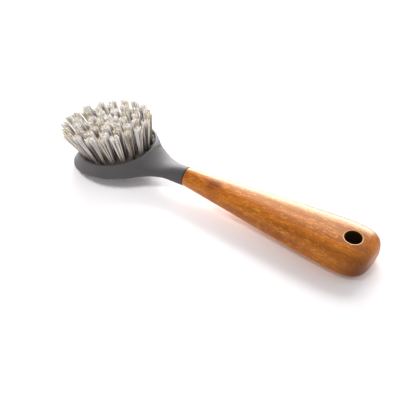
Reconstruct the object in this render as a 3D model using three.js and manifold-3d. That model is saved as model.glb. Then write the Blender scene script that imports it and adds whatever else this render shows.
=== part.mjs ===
// Cast iron brush: a laminated bamboo handle, a moulded head with a scraper lip,
// and staple-set tufts of stiff bristle. It lies on its back, bristles up, as it is set down on a worktop.
import * as THREE from 'three';
import { mergeVertices } from 'three/addons/utils/BufferGeometryUtils.js';
import Module from 'manifold-3d';

const wasm = await Module();
wasm.setup();

// Driving dimensions, in millimetres and degrees.
// The head has a frame of its own: u runs from the scraper lip to the neck, h up from the rim's plane.
const RIM_RADIUS = 29;
const RIM_WALL = 1.8;
const BED_DEPTH = 2.2;
const LIP_OVERHANG = 9;
const LIP_DROP = 13.4;
const HEAD_DEPTH = 17.3;
const SIDE_FLARE = 0.4;
const SIDE_DROP = 9.2;
const SHOULDER_FLARE = 0.6;
const COLLAR_HALF_WIDTH = 14.7;
const COLLAR_DROP = 7.9;
const COLLAR_DEPTH = 17.9;
const COLLAR_FILLET = 3.2;
const WAIST_SETBACK = 11;
const WAIST_HALF_WIDTH = 9.7;
const WAIST_DEPTH = 17.9;
const WAIST_SAG = 1.4;
const NECK_LENGTH = 27.6;
const NECK_DIP = 5.9;
const NECK_END_FLARE = 0.55;
const JOINT_DROP = 15.6;
const JOINT_RADIUS = 6.8;
const JOINT_CHAMFER = 0.5;
const BEND_ANGLE = 13.2;
const TANG_RADIUS = 4.3;
const TANG_TAPER = 0.4;
const TANG_LENGTH = 30;
const HANDLE_LENGTH = 148;
const BUTT_WIDTH = 46;
const BUTT_THICKNESS = 26;
const BUTT_ROUNDING = 46;
const HANG_HOLE_RADIUS = 6.2;
const HANG_HOLE_SETBACK = 16.7;
const REST_LAND = 0.3;
const OUTER_TUFT_INSET = 3.6;
const TUFT_HEIGHT = 21.4;
const TUFT_RAKE = 6;
const TUFT_RADIUS = 1.3;
const TUFT_SPREAD_RATIO = 1.75;
const TUFT_FAN_RATIO = 1.25;
const TUFT_ROOT = 3;
const STRAND_RADIUS = 0.46;
const STRANDS_AROUND_TUFT = 6;
const BED_SLICE = 1;
const ANCHOR_THICKNESS = 0.5;
const ANCHOR_HEIGHT = 1.6;
const CLEARANCE = 0.3;

// Each ring of tufts: its name, its radius as a share of the outer ring's, and how many tufts it has.
const TUFT_RINGS = [
  { name: 'center_tufts', share: 0.18, count: 5 },
  { name: 'inner_tuft_ring', share: 0.445, count: 9 },
  { name: 'middle_tuft_ring', share: 0.725, count: 14 },
  { name: 'outer_tuft_ring', share: 1, count: 20 },
];

// Places along the head's guide lines, as shares of the rim's radius, and how far a line has fallen there.
const SHOULDER_SHARE = 0.55;
const LIP_SHOULDER_SHARE = 0.7;
const LIP_SHOULDER_FALL = 0.61;
const BACK_START_SHARE = 0.83;
const BACK_END_SHARE = 0.34;
const LIP_UNDERSIDE_RISE = 0.25;

// Powers of the rounded sections and ends: 2 is an ellipse, more is squarer, less is flatter.
const LIP_FLANK_POWER = 0.75;
const SIDE_FLANK_POWER = 1.27;
const BACK_POWER = 2.3;
const BUTT_SECTION_POWER = 3.2;
const BUTT_PLAN_POWER = 3.8;
const BUTT_SIDE_POWER = 3.6;

// The share of the handle along which its section turns from round to squarish.
const SQUARING_SHARE = 0.6;

// Facet counts, and how much closer sections stand at the lip's edge and at the collar.
const RIM_STEPS = 26;
const LIP_STEPS = 4;
const LIP_CROWDING = 1.5;
const NECK_STEPS = 10;
const NECK_CROWDING = 1.3;
const FLANK_STEPS = 5;
const BACK_STEPS = 7;
const HANDLE_STEPS = 12;
const BUTT_STEPS = 12;
const HANDLE_SIDES = 28;
const BORE_SIDES = 28;
const ROUND_SIDES = 40;
const HOLE_SIDES = 6;
const STRAND_SIDES = 3;
const TILT_HALVINGS = 40;

const lipReach = RIM_RADIUS + LIP_OVERHANG;
const jointReach = RIM_RADIUS + NECK_LENGTH;
const bend = THREE.MathUtils.degToRad(BEND_ANGLE);
const bedRadius = RIM_RADIUS - RIM_WALL;
const recessDepth = BED_DEPTH + BED_SLICE + CLEARANCE;
const outerTuftRadius = bedRadius - OUTER_TUFT_INSET;
const tuftHoleRadius = TUFT_RADIUS + CLEARANCE;
const tuftHoleDepth = TUFT_ROOT + ANCHOR_HEIGHT + 2 * CLEARANCE;

const materials = {
  bamboo: new THREE.MeshStandardMaterial({ color: 0xc07a3a, roughness: 0.5, metalness: 0 }),
  grey: new THREE.MeshStandardMaterial({ color: 0x66646a, roughness: 0.55, metalness: 0 }),
  bristle: new THREE.MeshStandardMaterial({ color: 0xd9d2c4, roughness: 0.6, metalness: 0 }),
  wire: new THREE.MeshStandardMaterial({ color: 0xb08d57, roughness: 0.35, metalness: 1 }),
};

const smooth = (t) => THREE.MathUtils.smoothstep(t, 0, 1);
const mix = THREE.MathUtils.lerp;
const steps = (count) => Array.from({ length: count + 1 }, (_, i) => i / count);

// A smooth guide line through [place, value] pairs that never overshoots them.
function rail(pairs) {
  const place = pairs.map((pair) => pair[0]);
  const value = pairs.map((pair) => pair[1]);
  const last = pairs.length - 1;
  const step = place.slice(1).map((p, i) => p - place[i]);
  const slope = step.map((s, i) => (value[i + 1] - value[i]) / s);
  const tangent = value.map((_, i) => {
    if (i === 0) return slope[0];
    if (i === last) return slope[last - 1];
    if (slope[i - 1] * slope[i] <= 0) return 0;
    const before = 2 * step[i] + step[i - 1];
    const after = step[i] + 2 * step[i - 1];
    return (before + after) / (before / slope[i - 1] + after / slope[i]);
  });
  return (at) => {
    let i = 0;
    while (i < last - 1 && at > place[i + 1]) i += 1;
    const t = THREE.MathUtils.clamp((at - place[i]) / step[i], 0, 1);
    const rise = step[i] * t * (1 - t) * ((1 - t) * tangent[i] - t * tangent[i + 1]);
    return mix(value[i], value[i + 1], smooth(t)) + rise;
  };
}

// A closed skin over rings of points, with a flat fan over each end ring.
function loft(rings) {
  const sides = rings[0].length;
  const positions = rings.flat().flatMap((p) => [p.x, p.y, p.z]);
  const index = [];
  for (let i = 0; i + 1 < rings.length; i += 1) {
    for (let j = 0; j < sides; j += 1) {
      const a = i * sides + j;
      const b = i * sides + ((j + 1) % sides);
      index.push(a, a + sides, b, b, a + sides, b + sides);
    }
  }
  const end = (rings.length - 1) * sides;
  for (let j = 1; j + 1 < sides; j += 1) {
    index.push(0, j, j + 1);
    index.push(end, end + j + 1, end + j);
  }
  const geometry = new THREE.BufferGeometry();
  geometry.setAttribute('position', new THREE.Float32BufferAttribute(positions, 3));
  geometry.setIndex(index);
  return geometry;
}

// A closed geometry as a solid for joining and cutting.
function solid(geometry) {
  const bare = geometry.clone();
  bare.deleteAttribute('normal');
  bare.deleteAttribute('uv');
  const merged = mergeVertices(bare, 1e-4);
  const corners = merged.index.array;
  const triangles = [];
  for (let i = 0; i < corners.length; i += 3) {
    const [a, b, c] = [corners[i], corners[i + 1], corners[i + 2]];
    if (a !== b && b !== c && c !== a) triangles.push(a, b, c);
  }
  const mesh = new wasm.Mesh({
    numProp: 3,
    vertProperties: Float32Array.from(merged.attributes.position.array),
    triVerts: Uint32Array.from(triangles),
  });
  return new wasm.Manifold(mesh);
}

// A solid back as a geometry.
function skin(body) {
  const mesh = body.getMesh();
  const geometry = new THREE.BufferGeometry();
  geometry.setAttribute('position', new THREE.Float32BufferAttribute(mesh.vertProperties, 3));
  geometry.setIndex(Array.from(mesh.triVerts));
  return geometry;
}

function named(name, geometry, material) {
  const mesh = new THREE.Mesh(geometry, material);
  mesh.name = name;
  return mesh;
}

// A round bar along +Z from its base, in the place and direction that a matrix gives.
function bar(radius, length, sides, matrix) {
  const geometry = new THREE.CylinderGeometry(radius, radius, length, sides);
  geometry.rotateX(Math.PI / 2);
  geometry.translate(0, 0, length / 2);
  return solid(geometry.applyMatrix4(matrix));
}

// Guide lines of the head, each a height or half-width along u.
const shoulder = SHOULDER_SHARE * RIM_RADIUS;
const waist = RIM_RADIUS + WAIST_SETBACK;
const neckEnd = jointReach - JOINT_RADIUS;
const rimHalfWidth = (u) => Math.sqrt(Math.max(RIM_RADIUS ** 2 - u ** 2, 0));
const jointAxisHeight = (u) => -JOINT_DROP + (jointReach - u) * Math.tan(bend);
const neckSide = rail([
  [0, RIM_RADIUS + SIDE_FLARE],
  [shoulder, rimHalfWidth(shoulder) + SHOULDER_FLARE],
  [RIM_RADIUS, COLLAR_HALF_WIDTH],
  [waist, WAIST_HALF_WIDTH],
  [neckEnd, JOINT_RADIUS + NECK_END_FLARE],
  [jointReach, JOINT_RADIUS],
]);
const lipSide = (u) => (RIM_RADIUS + SIDE_FLARE) * Math.sqrt(Math.max(1 - (u / lipReach) ** 2, 0));
const side = (u) => (u < 0 ? lipSide(u) : neckSide(u));
const widest = rail([
  [-lipReach, -LIP_DROP],
  [-LIP_SHOULDER_SHARE * RIM_RADIUS, -mix(SIDE_DROP, LIP_DROP, LIP_SHOULDER_FALL)],
  [0, -SIDE_DROP],
  [RIM_RADIUS, -COLLAR_DROP],
  [waist, mix(jointAxisHeight(waist), -COLLAR_DROP, 0.5) - WAIST_SAG],
  [neckEnd, jointAxisHeight(neckEnd)],
  [jointReach, -JOINT_DROP],
]);
const back = rail([
  [-lipReach, -LIP_DROP],
  [-RIM_RADIUS - LIP_OVERHANG / 2, -mix(HEAD_DEPTH, LIP_DROP, LIP_UNDERSIDE_RISE)],
  [-BACK_START_SHARE * RIM_RADIUS, -HEAD_DEPTH],
  [BACK_END_SHARE * RIM_RADIUS, -HEAD_DEPTH],
  [RIM_RADIUS, -COLLAR_DEPTH],
  [waist, -WAIST_DEPTH],
  [neckEnd, jointAxisHeight(neckEnd) - JOINT_RADIUS],
  [jointReach, -JOINT_DROP - JOINT_RADIUS],
]);

// The lip coves out from the rim, and the top of the neck falls from it and dips on its way to the joint.
function crest(u) {
  if (u < -RIM_RADIUS) {
    const out = (-u - RIM_RADIUS) / LIP_OVERHANG;
    return -LIP_DROP * Math.sqrt(Math.max(1 - (1 - out) ** 2, 0));
  }
  if (u <= RIM_RADIUS) return 0;
  const along = (u - RIM_RADIUS) / NECK_LENGTH;
  const line = jointAxisHeight(u) + JOINT_RADIUS;
  const stepAtRim = jointAxisHeight(RIM_RADIUS) + JOINT_RADIUS;
  const fillet = stepAtRim * Math.exp((RIM_RADIUS - u) / COLLAR_FILLET);
  return line - (fillet + NECK_DIP * Math.sin(Math.PI * along)) * (1 - along);
}

function flankPower(u) {
  if (u < -RIM_RADIUS) return 1;
  if (u < 0) return mix(LIP_FLANK_POWER, SIDE_FLANK_POWER, smooth(1 + u / RIM_RADIUS));
  return mix(SIDE_FLANK_POWER, 2, smooth(u / RIM_RADIUS));
}

// One section of the head: down one flank from the rim, under the back and up the other flank.
function headSection(u) {
  const top = Math.min(rimHalfWidth(u), side(u));
  const turn = bend * smooth((u - RIM_RADIUS) / NECK_LENGTH);
  const rounded = (t, power) => Math.max(t, 0) ** (2 / power);
  const flank = steps(FLANK_STEPS).map((t) => {
    const angle = (Math.PI / 2) * t;
    const y = mix(top, side(u), rounded(Math.sin(angle), flankPower(u)));
    return [y, (crest(u) - widest(u)) * rounded(Math.cos(angle), flankPower(u))];
  });
  const under = steps(BACK_STEPS).slice(1).map((t) => {
    const angle = (Math.PI / 2) * t;
    const y = t < 1 ? side(u) * rounded(Math.cos(angle), BACK_POWER) : 0;
    return [y, (back(u) - widest(u)) * rounded(Math.sin(angle), BACK_POWER)];
  });
  const half = [...flank, ...under];
  const other = half.slice(0, -1).reverse().map(([y, h]) => [-y, h]);
  return [...half, ...other].map(([y, h]) => (
    new THREE.Vector3(u + h * Math.sin(turn), y, widest(u) + h * Math.cos(turn))
  ));
}

// A ring of the same point count round the tang, at a distance past the joint.
function tangSection(radius, distance) {
  const centre = new THREE.Vector3(jointReach, 0, -JOINT_DROP);
  const axis = new THREE.Vector3(Math.cos(bend), 0, -Math.sin(bend));
  return headSection(jointReach).map((point) => {
    const spoke = point.clone().sub(centre).setLength(radius);
    return centre.clone().add(spoke).addScaledVector(axis, distance);
  });
}

function headBody() {
  const lip = steps(LIP_STEPS).map((t) => -lipReach + LIP_OVERHANG * t ** LIP_CROWDING);
  const rim = steps(RIM_STEPS).map((t) => -RIM_RADIUS * Math.cos(Math.PI * t));
  const neck = steps(NECK_STEPS).map((t) => RIM_RADIUS + NECK_LENGTH * t ** NECK_CROWDING);
  const rings = [...lip.slice(0, -1), ...rim, ...neck.slice(1)].map(headSection);
  rings.push(tangSection(TANG_RADIUS, 0));
  rings.push(tangSection(TANG_RADIUS - TANG_TAPER, TANG_LENGTH));
  return solid(loft(rings));
}

// The frame of each tuft: its foot on the bed, with +Z along the way that it leans.
// Tufts fan out from the middle of the bed, and the whole field is raked towards the lip.
function tuftFrames(ring) {
  const up = new THREE.Vector3(0, 0, 1);
  const radius = ring.share * outerTuftRadius;
  return Array.from({ length: ring.count }, (_, i) => {
    const angle = (2 * Math.PI * (i + 0.5)) / ring.count;
    const spoke = new THREE.Vector3(Math.cos(angle), Math.sin(angle), 0).multiplyScalar(radius);
    const lean = spoke.clone().multiplyScalar(TUFT_FAN_RATIO - 1);
    lean.add(new THREE.Vector3(-TUFT_RAKE, 0, TUFT_HEIGHT)).normalize();
    const turn = new THREE.Quaternion().setFromUnitVectors(up, lean);
    const spin = new THREE.Quaternion().setFromAxisAngle(up, angle);
    const foot = spoke.setZ(-BED_DEPTH);
    return new THREE.Matrix4().compose(foot, turn.multiply(spin), new THREE.Vector3(1, 1, 1));
  });
}

// A tuft frame moved along its own axis.
const slid = (frame, distance) => frame.clone().multiply(new THREE.Matrix4().makeTranslation(0, 0, distance));

function headWithHoles() {
  const recess = new THREE.Matrix4().makeTranslation(0, 0, -recessDepth);
  const dished = headBody().subtract(bar(bedRadius, 2 * recessDepth, ROUND_SIDES, recess));
  const mouth = recessDepth - BED_DEPTH;
  const holes = TUFT_RINGS.flatMap(tuftFrames).map((frame) => {
    const floor = slid(frame, -mouth - tuftHoleDepth);
    return bar(tuftHoleRadius, tuftHoleDepth + mouth, HOLE_SIDES, floor);
  });
  return dished.subtract(wasm.Manifold.union(holes));
}

// One bristle strand: a thin bar from inside the bed to the level trim, further out at its tip.
function strand(frame, across, angle) {
  const axis = new THREE.Vector3().setFromMatrixColumn(frame, 2);
  const ends = [[-BED_DEPTH - BED_SLICE / 2, 1], [TUFT_HEIGHT - BED_DEPTH, TUFT_SPREAD_RATIO]];
  const rings = ends.map(([height, spread]) => (
    Array.from({ length: STRAND_SIDES }, (_, k) => {
      const corner = angle - (2 * Math.PI * k) / STRAND_SIDES;
      const x = across * spread * Math.cos(angle) + STRAND_RADIUS * Math.cos(corner);
      const y = across * spread * Math.sin(angle) + STRAND_RADIUS * Math.sin(corner);
      const point = new THREE.Vector3(x, y, 0).applyMatrix4(frame);
      return point.addScaledVector(axis, (height - point.z) / axis.z);
    })
  ));
  return solid(loft(rings));
}

// A ring of tufts: strands and folded roots on one slice of the bed.
function tuftRing(ring, inner, outer) {
  const low = -BED_DEPTH - BED_SLICE;
  const profile = [[inner, low], [outer, low], [outer, -BED_DEPTH], [inner, -BED_DEPTH]];
  if (inner > 0) profile.push(profile[0]);
  const slice = new THREE.LatheGeometry(profile.map(([r, h]) => new THREE.Vector2(r, h)), ROUND_SIDES);
  const root = BED_SLICE + CLEARANCE + TUFT_ROOT;
  const bodies = [solid(slice.rotateX(Math.PI / 2))];
  for (const frame of tuftFrames(ring)) {
    bodies.push(bar(TUFT_RADIUS, root - BED_SLICE / 2, HOLE_SIDES, slid(frame, -root)));
    bodies.push(strand(frame, 0, 0));
    for (let k = 0; k < STRANDS_AROUND_TUFT; k += 1) {
      bodies.push(strand(frame, TUFT_RADIUS, (2 * Math.PI * k) / STRANDS_AROUND_TUFT));
    }
  }
  return skin(wasm.Manifold.union(bodies));
}

// The staple across the foot of each tuft hole, as long as the hole lets it be.
function anchorGeometry() {
  const flat = tuftHoleRadius * Math.cos(Math.PI / HOLE_SIDES) - CLEARANCE;
  const length = 2 * Math.sqrt(flat ** 2 - (ANCHOR_THICKNESS / 2) ** 2);
  return new THREE.BoxGeometry(ANCHOR_THICKNESS, length, ANCHOR_HEIGHT);
}

// One section of the handle at a distance from its joint face: a circle at the joint, squarer at the butt.
function handleSection(x) {
  const along = x / HANDLE_LENGTH;
  const past = THREE.MathUtils.clamp((x - HANDLE_LENGTH + BUTT_ROUNDING) / BUTT_ROUNDING, 0, 1);
  const round = (power) => Math.max(1 - past ** power, 0) ** (1 / power);
  const halfWidth = mix(JOINT_RADIUS, BUTT_WIDTH / 2, along) * round(BUTT_PLAN_POWER);
  const halfThickness = mix(JOINT_RADIUS, BUTT_THICKNESS / 2, along) * round(BUTT_SIDE_POWER);
  const power = mix(2, BUTT_SECTION_POWER, Math.min(along / SQUARING_SHARE, 1));
  const bow = (t) => Math.sign(t) * Math.abs(t) ** (2 / power);
  return Array.from({ length: HANDLE_SIDES }, (_, j) => {
    const angle = (-2 * Math.PI * j) / HANDLE_SIDES;
    return new THREE.Vector3(x, halfWidth * bow(Math.cos(angle)), halfThickness * bow(Math.sin(angle)));
  });
}

function handleBody() {
  const straight = HANDLE_LENGTH - BUTT_ROUNDING;
  const shrink = 1 - JOINT_CHAMFER / JOINT_RADIUS;
  const face = handleSection(CLEARANCE).map((p) => p.multiply(new THREE.Vector3(1, shrink, shrink)));
  const shank = steps(HANDLE_STEPS).map((t) => mix(CLEARANCE + JOINT_CHAMFER, straight, t));
  const butt = steps(BUTT_STEPS).map((t) => straight + BUTT_ROUNDING * Math.sin((Math.PI / 2) * t));
  const rings = [face, ...[...shank, ...butt.slice(1)].map(handleSection)];
  const intoAxis = new THREE.Matrix4().makeRotationY(Math.PI / 2);
  const socket = bar(TANG_RADIUS + CLEARANCE, TANG_LENGTH + CLEARANCE, BORE_SIDES, intoAxis);
  const below = new THREE.Matrix4().makeTranslation(HANDLE_LENGTH - HANG_HOLE_SETBACK, 0, -BUTT_THICKNESS);
  const hangHole = bar(HANG_HOLE_RADIUS, 2 * BUTT_THICKNESS, BORE_SIDES, below);
  return solid(loft(rings)).subtract(socket).subtract(hangHole);
}

// The head's place on the handle: its neck ends at the handle's joint face.
const headFrame = new THREE.Group();
headFrame.rotation.y = -bend;
headFrame.position.set(jointReach, 0, -JOINT_DROP).applyEuler(headFrame.rotation).negate();
headFrame.updateMatrix();

const headSolid = headWithHoles();
const handleSolid = handleBody();

// The brush lies as a bridge: the tilt at which the head's back and the butt are equally low.
function corners(body, matrix) {
  const values = body.getMesh().vertProperties;
  return Array.from({ length: values.length / 3 }, (_, i) => (
    new THREE.Vector3().fromArray(values, 3 * i).applyMatrix4(matrix)
  ));
}
const headCorners = corners(headSolid, headFrame.matrix);
const handleCorners = corners(handleSolid, new THREE.Matrix4());
const lowest = (points, tilt) => Math.min(...points.map((p) => p.z * Math.cos(tilt) - p.x * Math.sin(tilt)));
let restTilt = 0;
for (let i = 0; i < TILT_HALVINGS; i += 1) {
  const headIsLower = lowest(headCorners, restTilt) < lowest(handleCorners, restTilt);
  restTilt += (headIsLower ? bend : -bend) / 2 ** (i + 1);
}
const worktop = lowest(handleCorners, restTilt) + REST_LAND;

const brush = new THREE.Group();
brush.rotation.y = restTilt;
brush.position.z = -worktop;
brush.add(headFrame);
brush.updateMatrixWorld(true);

// Everything under the worktop, seen from a piece's own frame: it leaves a flat land where the piece rests.
function underWorktop(frame) {
  const span = 4 * HANDLE_LENGTH;
  const slab = new THREE.BoxGeometry(span, span, HANDLE_LENGTH);
  slab.translate(0, 0, -HANDLE_LENGTH / 2);
  return solid(slab.applyMatrix4(frame.matrixWorld.clone().invert()));
}

brush.add(named('handle', skin(handleSolid.subtract(underWorktop(brush))), materials.bamboo));
headFrame.add(named('head', skin(headSolid.subtract(underWorktop(headFrame))), materials.grey));

let innerEdge = 0;
TUFT_RINGS.forEach((ring, i) => {
  const next = TUFT_RINGS[i + 1];
  const outerEdge = next ? mix(ring.share, next.share, 0.5) * outerTuftRadius : bedRadius - CLEARANCE;
  headFrame.add(named(ring.name, tuftRing(ring, innerEdge, outerEdge), materials.bristle));
  innerEdge = outerEdge + CLEARANCE;
});

TUFT_RINGS.flatMap(tuftFrames).forEach((frame, i) => {
  const anchor = named(`tuft_anchor_${String(i + 1).padStart(2, '0')}`, anchorGeometry(), materials.wire);
  const middle = recessDepth - BED_DEPTH + tuftHoleDepth - CLEARANCE - ANCHOR_HEIGHT / 2;
  slid(frame, -middle).decompose(anchor.position, anchor.quaternion, anchor.scale);
  headFrame.add(anchor);
});

// The origin is under the middle of the brush, on the worktop.
const box = new THREE.Box3().setFromObject(brush, true);
brush.position.x = -(box.min.x + box.max.x) / 2;

const part = new THREE.Group();
part.add(brush);
part.updateMatrixWorld(true);

export default part;
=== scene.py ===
# %% [markdown]
# # A cast iron brush
# A pan brush has three things to look at: a bamboo handle, a grey moulded head with a scraper lip,
# and a round bed of stiff bristle. The CAD part gives their true sizes and places. This lesson puts
# finer surfaces over it: each one is a formula on a grid of two parameters, worked out with numpy.
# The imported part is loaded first, so that every later piece can be measured against it.

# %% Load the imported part
from math import radians

import bmesh
import bpy
import numpy as np
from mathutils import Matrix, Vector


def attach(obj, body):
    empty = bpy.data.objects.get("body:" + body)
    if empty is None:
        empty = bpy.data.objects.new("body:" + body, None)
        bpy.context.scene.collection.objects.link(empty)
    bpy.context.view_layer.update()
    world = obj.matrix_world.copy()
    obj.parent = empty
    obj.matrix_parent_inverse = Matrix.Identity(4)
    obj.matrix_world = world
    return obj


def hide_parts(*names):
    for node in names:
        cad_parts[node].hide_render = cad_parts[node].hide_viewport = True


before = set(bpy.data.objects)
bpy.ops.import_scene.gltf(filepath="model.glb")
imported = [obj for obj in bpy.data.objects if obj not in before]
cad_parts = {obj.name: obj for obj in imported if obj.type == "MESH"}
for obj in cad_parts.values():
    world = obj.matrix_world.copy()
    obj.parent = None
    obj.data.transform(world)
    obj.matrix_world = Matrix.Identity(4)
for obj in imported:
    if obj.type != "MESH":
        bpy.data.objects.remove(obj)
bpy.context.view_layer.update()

MM = 0.001

# %% [markdown]
# The head is tipped, because the brush lies on its back like a bridge. Its frame could be typed in,
# but the part already holds it: the rim and the bed of the dish are its widest flats, so the direction
# that most flat area faces is the head's axis, and the corners that lie highest along it draw the rim.
# From here on, the head's own directions are called out, across and up.

# %% Find the head's frame from its flats
RIM_TOLERANCE = 0.01


def read_mesh(node):
    """Corners in millimetres, and each face's normal and area, of a CAD node."""
    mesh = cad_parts[node].data
    corners = np.empty(3 * len(mesh.vertices))
    normals = np.empty(3 * len(mesh.polygons))
    areas = np.empty(len(mesh.polygons))
    mesh.vertices.foreach_get("co", corners)
    mesh.polygons.foreach_get("normal", normals)
    mesh.polygons.foreach_get("area", areas)
    return corners.reshape(-1, 3) / MM, normals.reshape(-1, 3), areas


corners, normals, areas = read_mesh("head")
way_of_face = np.unique(normals.round(3), axis=0, return_inverse=True)[1].ravel()
flat_faces = way_of_face == np.bincount(way_of_face, weights=areas).argmax()
head_up = np.average(normals[flat_faces], axis=0, weights=areas[flat_faces])
head_up = head_up / np.linalg.norm(head_up)
head_across = np.array([0.0, 1.0, 0.0])
head_out = np.cross(head_across, head_up)
rim_height = (corners @ head_up).max()
rim_reach = corners[corners @ head_up > rim_height - RIM_TOLERANCE] @ head_out
rim_centre = rim_height * head_up + (rim_reach.max() + rim_reach.min()) / 2 * head_out
print("rim centre", rim_centre.round(2), "head tilt", np.degrees(np.arcsin(-head_up[0])).round(2))


def in_head(u, y, h):
    """A point u along out, y across and h up from the rim's centre, as x, y, z, and never under the worktop:
    the centre plus each number times its direction."""
    u, y, h = np.broadcast_arrays(u, y, h)
    spot = rim_centre + u[..., None] * head_out + y[..., None] * head_across + h[..., None] * head_up
    spot[..., 2] = np.maximum(spot[..., 2], 0)
    return spot


# %% [markdown]
# Every surface below is a grid of points. Two small helpers turn such grids into a mesh: one numbers
# the four corners of each square of a grid, and one welds several grids into a single closed piece.
# Welding merges points that coincide, so seams and poles close, and then the faces are turned outwards.

# %% Helpers that turn grids into pieces
def grid_faces(rows, columns, wraps=False, start=0):
    """Corner numbers of the squares of a grid: point (i, j) has number start + i * columns + j."""
    number = start + np.arange(rows * columns).reshape(rows, columns)
    if wraps:
        number = np.hstack([number, number[:, :1]])
    corners = [number[:-1, :-1], number[1:, :-1], number[1:, 1:], number[:-1, 1:]]
    return np.stack(corners, axis=-1)


def piece_from(name, points, faces, weld=0.002):
    """One smooth-shaded piece from points in millimetres and rows of corner numbers."""
    mesh = bpy.data.meshes.new(name)
    mesh.from_pydata((points.reshape(-1, 3) * MM).tolist(), [], faces)
    if weld:
        shell = bmesh.new()
        shell.from_mesh(mesh)
        bmesh.ops.remove_doubles(shell, verts=shell.verts, dist=weld * MM)
        bmesh.ops.recalc_face_normals(shell, faces=shell.faces)
        shell.to_mesh(mesh)
        shell.free()
    mesh.shade_smooth()
    piece = bpy.data.objects.new(name, mesh)
    bpy.context.scene.collection.objects.link(piece)
    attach(piece, "root")
    print(name, len(mesh.vertices), "points", len(mesh.polygons), "faces")
    return piece


# %% [markdown]
# Forms like the head could be sculpted, but a mould maker draws them with a few guide lines: how wide
# the form is, where it is widest, and how deep its back is. Each guide line is a smooth curve through a
# handful of sizes. A plain spline would swing past them, so the slopes here are held back.

# %% Smooth guide lines
def mix(a, b, t):
    """a where t is 0, b where t is 1, and a straight run between."""
    return a + (b - a) * t


def ease(t):
    """A soft step from 0 to 1: three t squared less two t cubed, held outside."""
    t = np.clip(t, 0, 1)
    return t * t * (3 - 2 * t)


def guide(pairs, at):
    """Cubic pieces through (place, value) pairs; the slope at a pair is the harmonic mean of its two
    neighbours' slopes, and level where the line turns, so the line never overshoots."""
    place, value = np.array(pairs, float).T
    step = np.diff(place)
    slope = np.diff(value) / step
    before = 2 * step[1:] + step[:-1]
    after = step[1:] + 2 * step[:-1]
    turns = slope[:-1] * slope[1:] <= 0
    left, right = (np.where(turns, 1, s) for s in (slope[:-1], slope[1:]))
    inner = np.where(turns, 0, (before + after) / (before / left + after / right))
    tangent = np.concatenate([slope[:1], inner, slope[-1:]])
    i = np.clip(np.searchsorted(place, at, side="right") - 1, 0, len(step) - 1)
    t = np.clip((at - place[i]) / step[i], 0, 1)
    rise = step[i] * t * (1 - t) * ((1 - t) * tangent[i] - t * tangent[i + 1])
    return mix(value[i], value[i + 1], ease(t)) + rise


print("a line through 0, 1 and 1:", guide([(0, 0), (1, 1), (2, 1)], np.linspace(0, 2, 5)).round(2))

# %% [markdown]
# The moulded head is a boat: seen from above its edge starts at the scraper lip, swells to the round
# rim and narrows to a neck that ends in a circle at the handle. Its sizes are those of the CAD part, so
# that the finer skin lies on the solid one, and four lines along the head hold all of them.

# %% Guide lines of the head
RIM_RADIUS, RIM_WALL, RIM_EDGE = 29, 1.8, 0.75
LIP_OVERHANG, LIP_DROP = 9, 13.4
HEAD_DEPTH, SIDE_FLARE, SIDE_DROP, SHOULDER_FLARE = 17.3, 0.4, 9.2, 0.6
COLLAR_HALF_WIDTH, COLLAR_DROP, COLLAR_DEPTH, COLLAR_FILLET = 14.7, 7.9, 17.9, 3.2
WAIST_SETBACK, WAIST_HALF_WIDTH, WAIST_DEPTH, WAIST_SAG = 11, 9.7, 17.9, 1.4
NECK_LENGTH, NECK_DIP, NECK_END_FLARE = 27.6, 5.9, 0.55
JOINT_DROP, JOINT_RADIUS, BEND = 15.6, 6.8, radians(13.2)
SHOULDER_SHARE, LIP_SHOULDER_SHARE, LIP_SHOULDER_FALL = 0.55, 0.7, 0.61
BACK_START_SHARE, BACK_END_SHARE, LIP_UNDERSIDE_RISE = 0.83, 0.34, 0.25

lip_reach = RIM_RADIUS + LIP_OVERHANG
joint_reach = RIM_RADIUS + NECK_LENGTH
waist = RIM_RADIUS + WAIST_SETBACK
neck_end = joint_reach - JOINT_RADIUS
shoulder = SHOULDER_SHARE * RIM_RADIUS


def rim_half_width(u):
    """Half the rim's width at u: a circle."""
    return np.sqrt(np.maximum(RIM_RADIUS**2 - u**2, 0))


def joint_axis(u):
    """Height of the handle's axis, carried back along the bend to u."""
    return -JOINT_DROP + (joint_reach - u) * np.tan(BEND)


def side(u):
    """Half the head's greatest width: an ellipse to the lip, a guide line to the neck. The line starts at
    the shoulder's mirror image, so that it is level where the head is widest."""
    lip = (RIM_RADIUS + SIDE_FLARE) * np.sqrt(np.maximum(1 - (u / lip_reach) ** 2, 0))
    shoulder_width = rim_half_width(shoulder) + SHOULDER_FLARE
    neck = guide([(-shoulder, shoulder_width), (0, RIM_RADIUS + SIDE_FLARE), (shoulder, shoulder_width),
                  (RIM_RADIUS, COLLAR_HALF_WIDTH), (waist, WAIST_HALF_WIDTH),
                  (neck_end, JOINT_RADIUS + NECK_END_FLARE), (joint_reach, JOINT_RADIUS)], u)
    return np.where(u < 0, lip, neck)


def widest(u):
    """Height at which the head is widest: a guide line from the lip's edge to the joint's axis."""
    lip_shoulder = -mix(SIDE_DROP, LIP_DROP, LIP_SHOULDER_FALL)
    waist_height = mix(joint_axis(waist), -COLLAR_DROP, 0.5) - WAIST_SAG
    return guide([(-lip_reach, -LIP_DROP), (-LIP_SHOULDER_SHARE * RIM_RADIUS, lip_shoulder),
                  (0, -SIDE_DROP), (RIM_RADIUS, -COLLAR_DROP), (waist, waist_height),
                  (neck_end, joint_axis(neck_end)), (joint_reach, -JOINT_DROP)], u)


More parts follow.
